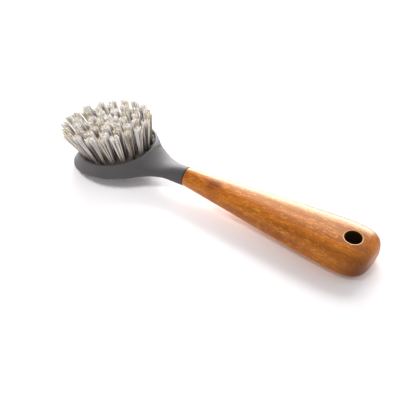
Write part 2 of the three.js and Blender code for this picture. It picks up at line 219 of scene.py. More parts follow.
def back(u):
    """Height of the middle of the head's back: a guide line from the lip's edge to the joint's underside."""
    lip_middle = -RIM_RADIUS - LIP_OVERHANG / 2
    lip_underside = -mix(HEAD_DEPTH, LIP_DROP, LIP_UNDERSIDE_RISE)
    return guide([(-lip_reach, -LIP_DROP), (lip_middle, lip_underside),
                  (-BACK_START_SHARE * RIM_RADIUS, -HEAD_DEPTH), (BACK_END_SHARE * RIM_RADIUS, -HEAD_DEPTH),
                  (RIM_RADIUS, -COLLAR_DEPTH), (waist, -WAIST_DEPTH),
                  (neck_end, joint_axis(neck_end) - JOINT_RADIUS),
                  (joint_reach, -JOINT_DROP - JOINT_RADIUS)], u)


def crest(u):
    """Height of the top: just under the rim's rounded edge along the rim, and along the neck a line to the
    joint less a fillet that dies away and a shallow sine dip."""
    along = np.clip((u - RIM_RADIUS) / NECK_LENGTH, 0, 1)
    fall = joint_axis(RIM_RADIUS) + JOINT_RADIUS + RIM_EDGE
    fillet = fall * np.exp(-np.maximum(u - RIM_RADIUS, 0) / COLLAR_FILLET)
    neck = joint_axis(u) + JOINT_RADIUS - (fillet + NECK_DIP * np.sin(np.pi * along)) * (1 - along)
    return np.where(u > RIM_RADIUS, neck, -RIM_EDGE)


print("head reaches", -lip_reach, "to", joint_reach, "mm along its own axis")

# %% [markdown]
# Between the guide lines the skin is made of two rounded corners, a flank above the widest line and the
# back below it. A superellipse does both: its power says how square the corner is. On the lip's half the
# flank fans out from the rim, hollow towards the lip, because sections across would leave a ridge there.
# Along the neck it is cut in sections, which turn with the bend so that the last one meets the handle
# squarely.

# %% Skin of the head, from the lip to the joint
RIM_STEPS, FLANK_STEPS, BACK_STEPS = 144, 22, 26
NECK_STEPS, NECK_CROWDING = 60, 1.3
LIP_POWER, SIDE_POWER, NECK_POWER, BACK_POWER = 0.6, 1.27, 2, 2.3


def flank(power):
    """How far out and how far up the points of a flank lie: sin and cos, each to the power 2/n."""
    a = np.linspace(0, np.pi / 2, FLANK_STEPS + 1)
    return np.sin(a) ** (2 / power), np.maximum(np.cos(a), 0) ** (2 / power)


def under(u):
    """The back at u, from one side to the other: y is the half-width times cos to the power 2/n, and the
    depth under the widest line grows by sin to the power 2/n."""
    b = np.linspace(0, np.pi, 2 * BACK_STEPS + 1)
    c, s = np.cos(b).round(12), np.sin(b).round(12)
    y = side(u) * np.sign(c) * np.abs(c) ** (2 / BACK_POWER)
    return y, (back(u) - widest(u)) * s ** (2 / BACK_POWER)


def lip_skin():
    """The flank and the back of the lip's half. The flank runs from the rim's circle to the edge's ellipse
    at the same angle, and its power goes from the lip's to the sides' with the square of the sine."""
    angle = np.linspace(np.pi / 2, 3 * np.pi / 2, RIM_STEPS + 1)[:, None]
    c, s = np.cos(angle).round(12), np.sin(angle).round(12)
    out, up = flank(mix(LIP_POWER, SIDE_POWER, s**2))
    fan_u = mix(RIM_RADIUS, lip_reach, out) * c
    fan_y = mix(RIM_RADIUS, RIM_RADIUS + SIDE_FLARE, out) * s
    fan_h = mix(widest(lip_reach * c), -RIM_EDGE, up)
    u = lip_reach * c[:RIM_STEPS // 2 + 1]
    y, h = under(u)
    underside = np.stack([np.broadcast_to(u, y.shape), y, widest(u) + h], axis=-1)
    return np.stack([fan_u, fan_y, fan_h], axis=-1), underside


def neck_skin(u):
    """Whole sections from the middle of the rim to the joint: a flank, the back and the other flank."""
    u = u[:, None]
    out, up = flank(mix(SIDE_POWER, NECK_POWER, ease(u / RIM_RADIUS)))
    flank_y = mix(np.minimum(rim_half_width(u), side(u)), side(u), out)
    flank_h = (crest(u) - widest(u)) * up
    under_y, under_h = under(u)
    y = np.hstack([flank_y, under_y[:, 1:-1], -flank_y[:, ::-1]])
    h = np.hstack([flank_h, under_h[:, 1:-1], flank_h[:, ::-1]])
    turn = BEND * ease((u - RIM_RADIUS) / NECK_LENGTH)
    return np.stack([u + h * np.sin(turn), y, widest(u) + h * np.cos(turn)], axis=-1)


rim_stations = RIM_RADIUS * np.sin(np.linspace(0, np.pi / 2, RIM_STEPS // 2 + 1))
neck_stations = RIM_RADIUS + NECK_LENGTH * np.linspace(0, 1, NECK_STEPS + 1)[1:] ** NECK_CROWDING
lip_flank, lip_back = lip_skin()
neck_points = neck_skin(np.concatenate([rim_stations, neck_stations]))
print("skin grids", lip_flank.shape[:2], lip_back.shape[:2], neck_points.shape[:2])

# %% [markdown]
# Inside the handle the neck goes on as a tang, a plain round bar that is one piece with the head. It
# never shows, so three more rings on the end of the neck's grid are enough: in from the joint's edge,
# along to the tip and in to the axis.

# %% Tang on the end of the neck
TANG_RADIUS, TANG_LENGTH = 4.3, 30

joint_centre = np.array([joint_reach, 0, -JOINT_DROP])
tang_way = np.array([np.cos(BEND), 0, -np.sin(BEND)])
spokes = (neck_points[-1] - joint_centre) / JOINT_RADIUS
tang_sizes = ((TANG_RADIUS, 0), (TANG_RADIUS, TANG_LENGTH), (0, TANG_LENGTH))
tang_rings = [joint_centre + spokes * radius + tang_way * distance for radius, distance in tang_sizes]
neck_points = np.concatenate([neck_points, tang_rings])
print("neck and tang grid", neck_points.shape[:2])

# %% [markdown]
# The face of the head is a shallow dish: a rounded rim, a wall and a flat bed with a socket for each
# tuft. It is a profile turned round the axis, with the sockets pressed into the bed as soft-edged pits.
# Its outermost points are the skin's own, so that welding the two grids closes the moulding.

# %% Rim, dish and tuft sockets, welded to the skin
BED_DEPTH, BED_FILLET, BED_STEPS, EDGE_STEPS = 2.2, 0.5, 60, 5
OUTER_TUFT_INSET, TUFT_HEIGHT, TUFT_RAKE = 3.6, 21.4, 6
SOCKET_RADIUS, SOCKET_DEPTH, SOCKET_POWER = 1.9, 1.2, 10
TUFT_RINGS = {"center_tufts": (0.18, 5), "inner_tuft_ring": (0.445, 9),
              "middle_tuft_ring": (0.725, 14), "outer_tuft_ring": (1, 20)}

bed_radius = RIM_RADIUS - RIM_WALL
ring_feet = {}
for ring, (share, count) in TUFT_RINGS.items():
    angle = 2 * np.pi * (np.arange(count) + 0.5) / count
    spoke = share * (bed_radius - OUTER_TUFT_INSET)
    ring_feet[ring] = spoke * np.stack([np.cos(angle), np.sin(angle)], axis=-1)
feet = np.concatenate(list(ring_feet.values()))

quarter = np.linspace(0, np.pi / 2, EDGE_STEPS + 1)
edge_r, edge_h = RIM_EDGE * np.cos(quarter), RIM_EDGE * np.sin(quarter)
fillet_r, fillet_h = BED_FILLET * np.sin(quarter), BED_FILLET * np.cos(quarter)
profile_r = np.concatenate([RIM_RADIUS - RIM_EDGE + edge_r, bed_radius + RIM_EDGE - edge_r[::-1],
                            bed_radius - BED_FILLET + fillet_r[::-1],
                            np.linspace(bed_radius - BED_FILLET, 0, BED_STEPS + 1)[1:]])
profile_h = np.concatenate([edge_h - RIM_EDGE, edge_h[::-1] - RIM_EDGE,
                            BED_FILLET - BED_DEPTH - fillet_h[::-1], np.full(BED_STEPS, -BED_DEPTH)])


def dish(r, h):
    """The profile turned round the axis; on the bed each socket is a pit, one over one plus a power of the
    distance from its middle."""
    around = np.linspace(0, 2 * np.pi, 2 * RIM_STEPS + 1)[:-1]
    u = -r[:, None] * np.cos(around)
    y = r[:, None] * np.sin(around)
    height = np.repeat(h[:, None], len(around), axis=1)
    away = np.hypot(u[..., None] - feet[:, 0], y[..., None] - feet[:, 1]).min(axis=-1)
    pit = SOCKET_DEPTH / (1 + (away / SOCKET_RADIUS) ** SOCKET_POWER)
    on_bed = r[:, None] < bed_radius - BED_FILLET
    return np.stack([u, y, height - np.where(on_bed, pit, 0)], axis=-1)


grids = [lip_flank, lip_back, neck_points, dish(profile_r, profile_h)]
starts = np.cumsum([0] + [grid.shape[0] * grid.shape[1] for grid in grids])
head_faces = [grid_faces(*grid.shape[:2], wraps=grid is grids[-1], start=start).reshape(-1, 4)
              for grid, start in zip(grids, starts)]
head_grid = np.concatenate([grid.reshape(-1, 3) for grid in grids])
head = piece_from("moulded_head", in_head(*head_grid.T), np.concatenate(head_faces).tolist())
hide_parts("head")

# %% [markdown]
# The handle is turned and sanded from glued bamboo: a round at the joint that grows into a squarish
# paddle with a blunt butt. Every section is a superellipse whose power rises from 2 to 3.2, and towards
# the butt both half-sizes close along a superellipse too. The points of a section are spaced by angle,
# which keeps the flat top evenly divided for the hang hole that comes next.

# %% Sections of the handle
HANDLE_LENGTH, BUTT_WIDTH, BUTT_THICKNESS, BUTT_ROUNDING = 148, 46, 26, 46
BUTT_PLAN_POWER, BUTT_SIDE_POWER, BUTT_SECTION_POWER, SQUARING_SHARE = 3.8, 3.6, 3.2, 0.6
JOINT_GAP, JOINT_EDGE = 0.3, 0.8
AROUND, SHANK_RINGS, BUTT_RINGS = 144, 60, 60

handle_start = rim_centre + joint_reach * head_out - JOINT_DROP * head_up
handle_out = np.cos(BEND) * head_out - np.sin(BEND) * head_up
handle_up = np.sin(BEND) * head_out + np.cos(BEND) * head_up


def in_handle(points):
    """Points along the handle, across it and up from its axis, as x, y, z, and never under the worktop."""
    spot = handle_start + points @ np.array([handle_out, head_across, handle_up])
    spot[..., 2] = np.maximum(spot[..., 2], 0)
    return spot


def half_sizes(x):
    """Half-width, half-thickness and section power at x: straight tapers, closed at the butt by
    one less the share past the rounding's start to the power p, to the power one over p."""
    along = x / HANDLE_LENGTH
    past = np.clip((x - HANDLE_LENGTH + BUTT_ROUNDING) / BUTT_ROUNDING, 0, 1)
    plan = (1 - past**BUTT_PLAN_POWER) ** (1 / BUTT_PLAN_POWER)
    edge = (1 - past**BUTT_SIDE_POWER) ** (1 / BUTT_SIDE_POWER)
    half_width = mix(JOINT_RADIUS, BUTT_WIDTH / 2, along) * plan
    half_thickness = mix(JOINT_RADIUS, BUTT_THICKNESS / 2, along) * edge
    return half_width, half_thickness, mix(2, BUTT_SECTION_POWER, np.minimum(along / SQUARING_SHARE, 1))


def handle_rings(x):
    """Rows of section points: the direction (cos, sin) scaled so that |y/a|^p + |z/b|^p is 1."""
    angle = 2 * np.pi * np.arange(AROUND) / AROUND
    a, b, p = (size[:, None] for size in half_sizes(x))
    c, s = np.cos(angle), np.sin(angle)
    reach = (np.abs(c) ** p + np.abs(s) ** p) ** (-1 / p)
    return np.stack([np.broadcast_to(x[:, None], reach.shape), a * reach * c, b * reach * s], axis=-1)


straight = HANDLE_LENGTH - BUTT_ROUNDING
shank = np.linspace(JOINT_GAP + JOINT_EDGE, straight, SHANK_RINGS)
butt = straight + BUTT_ROUNDING * np.sin(np.linspace(0, np.pi / 2, BUTT_RINGS + 1)[1:])
handle_stations = np.concatenate([shank, butt])
handle_grid = handle_rings(handle_stations)
print("handle grid", handle_grid.shape[:2])

# %% [markdown]
# The hang hole goes right through the paddle. A Boolean cut would leave long thin faces that catch the
# light, so the grid itself opens up: a block of squares is left out of the top and of the underside,
# and rings of points run from the block's edge to a circle, round the hole's eased edge and down the
# bore.

# %% Rings round the hang hole
HANG_HOLE_RADIUS, HANG_HOLE_SETBACK, HANG_HOLE_EDGE = 6.2, 16.7, 0.7
BLOCK_COLUMNS, BLOCK_REACH = 12, 10.4
FLAT_RINGS, ROUND_RINGS = 9, 6

hole_x = HANDLE_LENGTH - HANG_HOLE_SETBACK
top_middle = AROUND // 4
first_row = np.searchsorted(handle_stations, hole_x - BLOCK_REACH)
last_row = np.searchsorted(handle_stations, hole_x + BLOCK_REACH)
first_column, last_column = top_middle - BLOCK_COLUMNS, top_middle + BLOCK_COLUMNS
rows = np.arange(first_row, last_row)
columns = np.arange(first_column, last_column)
loop_rows = np.concatenate([np.full(len(columns), first_row), rows,
                            np.full(len(columns), last_row), rows[::-1] + 1])
loop_columns = np.concatenate([columns, np.full(len(rows), last_column),
                               columns[::-1] + 1, np.full(len(rows), first_column)])
block_edge = handle_grid[loop_rows, loop_columns][:, :2]


def top_height(x, y):
    """Height of the handle's top at x, y: b times (1 less |y/a|^p) to the power one over p."""
    a, b, p = half_sizes(x)
    return b * (1 - np.abs(y / a) ** p) ** (1 / p)


def hole_rings(edge):
    """Rings from the block's edge to the hole: straight runs to a circle, then a quarter round."""
    centre = np.array([hole_x, 0])
    spoke = edge - centre
    spoke = spoke / np.linalg.norm(spoke, axis=-1, keepdims=True)
    circle = centre + spoke * (HANG_HOLE_RADIUS + HANG_HOLE_EDGE)
    share = np.linspace(0, 1, FLAT_RINGS)[:, None, None]
    flat = mix(edge, circle, share)
    flat_z = top_height(flat[..., 0], flat[..., 1])
    turn = np.linspace(0, np.pi / 2, ROUND_RINGS + 1)[1:, None]
    radius = HANG_HOLE_RADIUS + HANG_HOLE_EDGE * (1 - np.sin(turn))
    rounded = centre + spoke * radius[..., None]
    rounded_z = flat_z[-1] - HANG_HOLE_EDGE * (1 - np.cos(turn))
    return np.concatenate([np.dstack([flat, flat_z]), np.dstack([rounded, rounded_z])])


top_rings = hole_rings(block_edge)
bore_grid = np.concatenate([top_rings, top_rings[::-1] * [1, 1, -1]])
print("bore grid", bore_grid.shape[:2])

# %% [markdown]
# The joint end is finished in the same way: more rings make a rounded arris and the blind socket that
# the tang sits in. Then the outside and the bore are welded into one closed handle.

# %% Joint end and socket, welded into the handle
ARRIS_RINGS = 5


def joint_ring(x, share):
    """The first ring of the handle, moved to x and drawn in to a share of its radius."""
    return np.column_stack([np.full(AROUND, x), handle_grid[0][:, 1:] * share])


arris_x = handle_stations[0]
arris_turns = np.linspace(0, np.pi / 2, ARRIS_RINGS + 1)[1:]
arris_rings = [joint_ring(arris_x - JOINT_EDGE * np.sin(t), 1 - JOINT_EDGE * (1 - np.cos(t)) / JOINT_RADIUS)
               for t in arris_turns]
socket_share = (TANG_RADIUS + JOINT_GAP) / JOINT_RADIUS
socket_end = TANG_LENGTH + JOINT_GAP
socket_sizes = ((JOINT_GAP, socket_share), (socket_end, socket_share), (socket_end, 0))
socket_rings = [joint_ring(x, share) for x, share in socket_sizes]
outside = np.concatenate([np.array(socket_rings)[::-1], np.array(arris_rings)[::-1], handle_grid])

squares = grid_faces(*outside.shape[:2], wraps=True)
offset = len(outside) - len(handle_grid)
keep = np.ones(squares.shape[:2], bool)
keep[offset + first_row:offset + last_row, first_column:last_column] = False
keep[offset + first_row:offset + last_row, AROUND - last_column:AROUND - first_column] = False
bore_squares = grid_faces(*bore_grid.shape[:2], wraps=True, start=outside.shape[0] * AROUND)
handle_faces = np.concatenate([squares[keep], bore_squares.reshape(-1, 4)])
handle_points = np.concatenate([outside.reshape(-1, 3), bore_grid.reshape(-1, 3)])
handle = piece_from("bamboo_handle", in_handle(handle_points), handle_faces.tolist())
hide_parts("handle")

# %% [markdown]
# Each tuft is a bundle of stiff nylon filaments, folded over a staple and trimmed level. Hair particles
# could draw them, but real filaments here are over half a millimetre thick and cut square, so each one
# is a six-sided rod of 26 faces. A sunflower spiral packs the rods in the socket, and they
# spread to the tip. The tips of the tufts fan out, a little turned, and lean towards the lip. Small
# random bends and lengths keep them from looking combed.

# %% Shape of the filaments
FILAMENTS, FILAMENT_RADIUS, FILAMENT_SIDES = 24, 0.34, 6
TUFT_RADIUS, TIP_SPREAD, TIP_FLARE = 1.4, 2.35, 0.25
TIP_FAN, TIP_SHIFT = np.array([[0.26, 0.12], [0.09, 0.13]]), np.array([-TUFT_RAKE, 0])
LEAN_SCATTER, BEND_SCATTER, LENGTH_SCATTER = [0.6, 0.6, 0.35], 0.12, 0.008
ROD_SHARES = np.array([-0.05, 0.22, 0.5, 0.77, 1.0])
chance = np.random.default_rng(7)


def sunflower(count):
    """Points spread evenly over a unit disc: the radius is the square root of the rank's share, and each
    point is turned by the golden angle from the last."""
    rank = np.arange(count)
    radius = np.sqrt((rank + 0.5) / count)
    turn = rank * np.pi * (3 - np.sqrt(5))
    return np.stack([radius * np.cos(turn), radius * np.sin(turn)], axis=-1)


def filament_rods(foot):
    """Rod points for tufts at the given feet: at each share of the length, the foot plus the share of the
    tuft's lean, the packing times a spread that grows with the share, and a bend that grows with its square.
    Rods are cut parallel to the bed."""
    tufts = len(foot)
    lean = np.column_stack([foot @ TIP_FAN + TIP_SHIFT, np.full(tufts, TUFT_HEIGHT)])
    lean += chance.normal(0, LEAN_SCATTER, (tufts, 3))
    spin = chance.uniform(0, 2 * np.pi, tufts)
    cos, sin = np.cos(spin)[:, None], np.sin(spin)[:, None]
    u, y = sunflower(FILAMENTS).T
    packing = TUFT_RADIUS * np.stack([u * cos - y * sin, u * sin + y * cos], axis=-1)
    bend = chance.normal(0, BEND_SCATTER, packing.shape) + TIP_FLARE * packing
    share = ROD_SHARES * (1 + chance.normal(0, LENGTH_SCATTER, (tufts, FILAMENTS, 1)))
    spread = 1 + (TIP_SPREAD - 1 - TIP_FLARE) * share
    offset = packing[:, :, None] * spread[..., None] + bend[:, :, None] * (share**2)[..., None]
    corner = 2 * np.pi * np.arange(FILAMENT_SIDES) / FILAMENT_SIDES
    rim = FILAMENT_RADIUS * np.stack([np.cos(corner), np.sin(corner)], axis=-1)
    root = np.column_stack([foot, np.full(tufts, -BED_DEPTH)])
    axis = root[:, None, None] + lean[:, None, None] * share[..., None]
    rods = np.repeat(axis[..., None, :], FILAMENT_SIDES, axis=-2)
    rods[..., :2] += offset[..., None, :] + rim
    return rods


def rod_faces(rods):
    """Sides of every rod as squares between its rings, and a six-cornered cap on each end."""
    rings = len(ROD_SHARES)
    one = grid_faces(rings, FILAMENT_SIDES, wraps=True).reshape(-1, 4)
    start = np.arange(rods)[:, None] * rings * FILAMENT_SIDES
    sides = (start[..., None] + one).reshape(-1, 4)
    end = np.arange(FILAMENT_SIDES)
    caps = np.stack([end[::-1], (rings - 1) * FILAMENT_SIDES + end])
    return sides.tolist(), (start[..., None] + caps).reshape(-1, FILAMENT_SIDES).tolist()


print("a tuft has", FILAMENTS, "rods of", len(ROD_SHARES), "rings")

# %% [markdown]
# New filament is white, but the tufts mix in grey and tan ones, and some tufts are mainly tan. Many rods lie
# in the shade of their neighbours, and that shade is painted: some rods are dark, and there are more grey
# and tan ones in the middle of a tuft. One colour for all would look like plastic foam, so each ring of each
# rod has a tone, which the mesh keeps as an attribute.

# %% Tones of the filaments
TAN_TUFTS = {"outer_tuft_ring": [1, 5, 10, 12, 13, 16, 18], "middle_tuft_ring": [2, 6, 9, 12],
             "inner_tuft_ring": [1, 6], "center_tufts": [3]}
# More grey and tan towards a tuft's middle, the dark rods and their lightening to the tip are painted shade.
TAN_SHARE, EDGE_TAN_SHARE, EDGE_GREY_SHARE, MIDDLE_SHADE_SHARE = 0.65, 0.08, 0.12, 0.25
PAINTED_SHADE_SHARE, LIT_SLOPE, LIT_DROP = 0.4, 2.8, 1.95


def tone(red, green, blue):
    """A colour written as it looks on screen, 0 to 255, as the light amounts that shaders use."""
    c = np.array([red, green, blue]) / 255
    return np.where(c <= 0.04045, c / 12.92, ((c + 0.055) / 1.055) ** 2.4)


WHITE_NYLON, GREY_NYLON, TAN_NYLON = tone(250, 247, 242), tone(232, 226, 228), tone(206, 193, 170)
# Painted shade: the colour of rods that lie in their neighbours' shade.
PAINTED_SHADE_NYLON = tone(108, 97, 86)


def filament_tones(ring, tufts):
    """A colour for each ring of each rod: mostly white, with some grey and tan rods, and mainly tan ones in
    the tufts listed for the ring. More grey and tan rods in the middle of a tuft are painted shade, and some
    rods are painted dark for the shade of their neighbours, up to near the tip."""
    inner = np.linspace(1, 0, FILAMENTS)
    is_tan = np.isin(np.arange(tufts), TAN_TUFTS[ring])[:, None]
    tan_share = np.where(is_tan, TAN_SHARE, EDGE_TAN_SHARE + MIDDLE_SHADE_SHARE * inner)
    draw = chance.random((tufts, FILAMENTS))
    is_grey = draw > 1 - EDGE_GREY_SHARE - MIDDLE_SHADE_SHARE * inner
    rod = np.where(is_grey[..., None], GREY_NYLON, WHITE_NYLON)
    rod = np.where((draw < tan_share)[..., None], TAN_NYLON, rod)
    # Painted shade on some rods, fading out towards the tip.
    shaded = np.where(chance.random((tufts, FILAMENTS, 1)) < PAINTED_SHADE_SHARE, PAINTED_SHADE_NYLON, 1)
    lit = ease(LIT_SLOPE * ROD_SHARES - LIT_DROP)[:, None]
    return rod[:, :, None] * mix(shaded[:, :, None], 1, lit)


print("tan tufts:", sum(len(tufts) for tufts in TAN_TUFTS.values()), "of", len(feet))

# %% [markdown]
# Each ring of tufts becomes one piece. Nothing is welded, because every rod is a closed shell of its
# own. A second attribute says how far along its rod a point lies, for the finish to use.

# %% Bristle pieces
CAP_ANGLE = radians(70)

bristles = []
for ring, foot in ring_feet.items():
    rods = filament_rods(foot)
    squares, caps = rod_faces(len(foot) * FILAMENTS)
    places = in_head(*np.moveaxis(rods.reshape(-1, 3), -1, 0))
    piece = piece_from(ring.split("_")[0] + "_bristles", places, squares + caps, weld=0)
    rod_tone = np.repeat(filament_tones(ring, len(foot)).reshape(-1, 3), FILAMENT_SIDES, axis=0)
    rod_rgba = np.column_stack([rod_tone, np.ones(len(rod_tone))])
    attribute = piece.data.attributes.new("filament_tone", "FLOAT_COLOR", "POINT")
    attribute.data.foreach_set("color", rod_rgba.astype(np.float32).ravel())
    rod_share = np.tile(np.repeat(ROD_SHARES, FILAMENT_SIDES), len(foot) * FILAMENTS)
    along = piece.data.attributes.new("filament_along", "FLOAT", "POINT")
    along.data.foreach_set("value", rod_share.astype(np.float32))
    piece.data.set_sharp_from_angle(angle=CAP_ANGLE)
    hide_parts(ring)
    bristles.append(piece)

# %% [markdown]
# Finishes come next. A small helper adds a shader node with its constant values already on its sockets,
# which keeps each material readable as a list of what is mixed with what.

# %% Helpers for materials
class Finish:
    """A material on one Principled shader, with short ways to add and join nodes."""

    def __init__(self, name):
        self.material = bpy.data.materials.new(name)
        self.material.use_nodes = True
        self.tree = self.material.node_tree
        self.shader = self.tree.nodes["Principled BSDF"]

    def add(self, kind, values=None, **settings):
        """A node of that kind; values are constants or other nodes' sockets, by input name or number."""
        node = self.tree.nodes.new("ShaderNode" + kind)
        for key, value in settings.items():
            setattr(node, key, value)
        for key, value in (values or {}).items():
            self.put(node, key, value)
        return node

    def put(self, node, key, value):
        """Sets an input to a constant, or links it if the value is a socket."""
        if isinstance(value, bpy.types.NodeSocket):
            self.tree.links.new(value, node.inputs[key])
        else:
            node.inputs[key].default_value = value

    def set(self, **values):
        """Inputs of the Principled shader, with underscores for the spaces in their names."""
        for key, value in values.items():
            self.put(self.shader, key.replace("_", " "), value)

    def here(self):
        """The place on the piece, in metres in the shared frame."""
        return self.add("TexCoord").outputs["Object"]

    def noise(self, vector, **values):
        """Cloudy noise from 0 to 1 at a place."""
        return self.add("TexNoise", {"Vector": vector, **values}).outputs[0]

    def math(self, operation, a, b=0.0):
        """One arithmetic step on numbers or sockets."""
        return self.add("Math", {0: a, 1: b}, operation=operation).outputs[0]

    def vector(self, operation, a, b, output=0):
        """One arithmetic step on vectors."""
        return self.add("VectorMath", {0: a, 1: b}, operation=operation).outputs[output]

    def blend(self, factor, a, b, how="MIX"):
        """Two colours mixed by a factor."""
        node = self.add("Mix", {0: factor, 6: a, 7: b}, data_type="RGBA", blend_type=how, clamp_factor=True)
        return node.outputs[2]

    def steps(self, factor, low, high):
        """A soft step of a number: 0 under low, 1 over high."""
        values = {0: factor, 1: low, 2: high, 3: 0.0, 4: 1.0}
        return self.add("MapRange", values, interpolation_type="SMOOTHSTEP").outputs[0]

    def between(self, factor, low, high):
        """A number from 0 to 1, spread from low to high."""
        return self.add("MapRange", {0: factor, 3: low, 4: high}).outputs[0]

    def bump(self, height, strength, distance):
        """A bent normal, for relief too fine to model."""
        values = {"Strength": strength, "Distance": distance, "Height": height}
        return self.add("Bump", values).outputs[0]


def colour(red, green, blue):
    """A screen colour as a shader's four values."""
    return (*tone(red, green, blue), 1.0)


print("mid grey is", colour(128, 128, 128)[0].round(3), "to a shader")

# %% [markdown]
# The head is a satin grey plastic, moulded in a lightly blasted tool. A plain grey would look like clay:
# the fine grain of the tool breaks up its highlights, so a tiny noise drives both bump and roughness.

# %% Grey moulded plastic
plastic = Finish("satin_grey_plastic")
place = plastic.here()
grain = plastic.noise(place, Scale=2600.0, Detail=2.0, Roughness=0.6)
cloud = plastic.noise(place, Scale=45.0, Detail=2.0)
grey = plastic.blend(cloud, colour(63, 60, 61), colour(71, 68, 69))
plastic.set(Base_Color=grey, Roughness=plastic.between(grain, 0.52, 0.64),
            Normal=plastic.bump(grain, 0.12, 0.00012), Specular_IOR_Level=0.5)
head.data.materials.append(plastic.material)
print("finished", plastic.material.name)

# %% [markdown]
# Bamboo is bundles of fibre in a paler ground: long streaks, short dark flecks, and a scar where each
# joint of the cane was. The handle is glued from layers, which differ a little in tone and meet in fine
# lines. All of it runs along the handle, so a Mapping node first turns the pattern to the handle's axis
# and noise is then stretched along it.

# %% Ground of the bamboo
bamboo = Finish("lacquered_bamboo")
handle_tilt = np.arctan2(-handle_out[2], handle_out[0])
handle_place = {"Location": tuple(handle_start * MM), "Rotation": (0, handle_tilt, 0)}
turned = bamboo.add("Mapping", {"Vector": bamboo.here(), **handle_place}, vector_type="TEXTURE").outputs[0]


def fibre(lengthways, crossways, **noise):
    """Noise stretched along the handle; the two numbers are features per metre along and across."""
    scaled = bamboo.vector("MULTIPLY", turned, (lengthways, crossways, crossways))
    return bamboo.noise(scaled, Scale=1.0, **noise)


def stain(ground, mask, amount, tint):
    """The ground with a tint laid over it where the mask is 1."""
    return bamboo.blend(bamboo.math("MULTIPLY", mask, amount), ground, tint)


streaks = fibre(11, 120, Detail=3.0, Distortion=0.6)
mottle = fibre(210, 680, Detail=2.0, Distortion=1.2)
fibres = fibre(50, 1700, Detail=3.0, Roughness=0.6)
ground = bamboo.blend(bamboo.steps(streaks, 0.32, 0.68), colour(153, 75, 8), colour(192, 107, 19))
ground = stain(ground, bamboo.steps(mottle, 0.53, 0.7), 0.55, colour(128, 60, 8))
ground = stain(ground, bamboo.steps(mottle, 0.46, 0.32), 0.55, colour(226, 148, 54))
ground = stain(ground, bamboo.steps(fibres, 0.54, 0.72), 0.55, colour(128, 58, 6))
print("ground of", len(bamboo.tree.nodes), "nodes")

# %% [markdown]
# On that ground lie a paler layer with a glue line over it, the reddish scar of a cane joint near the neck
# and a darker patch at the butt. Three more marks are painted light and shade: a pale ring round the hang
# hole is a painted highlight on its eased edge, the near-black bore is painted shade inside the hole, and a
# dark line at the joint is painted shadow in the gap. They could be drawn in an image, but each is a mask
# with an amount and a tint, so a loop lays them on one after the other. Lacquer gives the wood its satin
# gloss, with golden highlights.

# %% Marks on the bamboo
LAYER_HEIGHT, LAYER_BLUR, LAYER_WANDER, GLUE_WIDTH = -4.5, 0.3, 6, 0.8
SCAR_SPOT, DARK_BUTT_SPOT = (25, -4, 7), (148, -14, -3)
HIGHLIGHT_RING_INSIDE, HIGHLIGHT_RING_OUTSIDE, BORE_SHADE_BLUR = 0.5, 1.1, 0.2
JOINT_SHADOW_START, JOINT_SHADOW_END = 1.3, 0.8


def near(spot, inside, outside, flat=(1, 1, 1)):
    """1 within a distance of a spot and 0 beyond another, in millimetres along, across and up the handle;
    flat scales each direction first."""
    there = tuple(MM * a * b for a, b in zip(spot, flat))
    gap = bamboo.vector("DISTANCE", bamboo.vector("MULTIPLY", turned, flat), there, "Value")
    return bamboo.steps(gap, outside * MM, inside * MM)


def near_hole(inside, outside):
    """1 within a distance of the hang hole's wall and 0 beyond another, at any height."""
    return near((hole_x, 0, 0), HANG_HOLE_RADIUS + inside, HANG_HOLE_RADIUS + outside, (1, 1, 0))


along_handle, _, above_axis = bamboo.add("SeparateXYZ", {0: turned}).outputs
wander = bamboo.math("MULTIPLY", bamboo.math("SUBTRACT", streaks, 0.5), LAYER_WANDER * MM)
depth = bamboo.math("ADD", above_axis, wander)
layer = bamboo.steps(depth, (LAYER_HEIGHT + LAYER_BLUR) * MM, (LAYER_HEIGHT - LAYER_BLUR) * MM)
from_glue = bamboo.math("ABSOLUTE", bamboo.math("SUBTRACT", depth, LAYER_HEIGHT * MM))
scar_flecks = bamboo.steps(fibre(70, 650), 0.34, 0.5)
scar = bamboo.math("MULTIPLY", near(SCAR_SPOT, 2, 6, (0.8, 1.3, 0.3)), scar_flecks)
marks = [
    (layer, 0.6, colour(230, 148, 40)),
    (bamboo.steps(from_glue, GLUE_WIDTH * MM, 0.0), 0.5, colour(120, 58, 18)),
    (near(SCAR_SPOT, 2, 12, (1, 1, 0.3)), 0.4, colour(132, 56, 20)),
    (scar, 0.75, colour(108, 34, 8)),
    (near(DARK_BUTT_SPOT, 2, 26), 0.85, colour(100, 36, 8)),
    # Painted highlight: a pale ring on the hang hole's eased edge.
    (near_hole(HIGHLIGHT_RING_INSIDE, HIGHLIGHT_RING_OUTSIDE), 0.6, colour(244, 196, 128)),
    # Painted shade: the bore is near-black for the shade inside the hang hole.
    (near_hole(0, BORE_SHADE_BLUR), 0.95, colour(30, 10, 4)),
    # Painted shadow: a dark line on the handle next to the gap at the joint.
    (bamboo.steps(along_handle, JOINT_SHADOW_START * MM, JOINT_SHADOW_END * MM), 0.85, colour(52, 24, 10)),
]
for mask, amount, tint in marks:
    ground = stain(ground, mask, amount, tint)
bamboo.set(Base_Color=ground, Roughness=0.3, Normal=bamboo.bump(mottle, 0.3, 0.00015),
           Specular_IOR_Level=0.42, Specular_Tint=(0.92, 1.0, 0.62, 1.0))
handle.data.materials.append(bamboo.material)
print("finished", bamboo.material.name, "with", len(marks), "marks")

# %% [markdown]
# Nylon filament is slightly cloudy: light goes a little way in, which softens the shade between rods.
# The colour comes from each rod's own attribute, with painted shade towards the root, where the tuft is
# tight, and a little beige on the cut end.

# %% Nylon filaments
ROOT_SHADE_END, ROOT_SHADE_START, CUT_START = 0.6, -0.05, 0.97

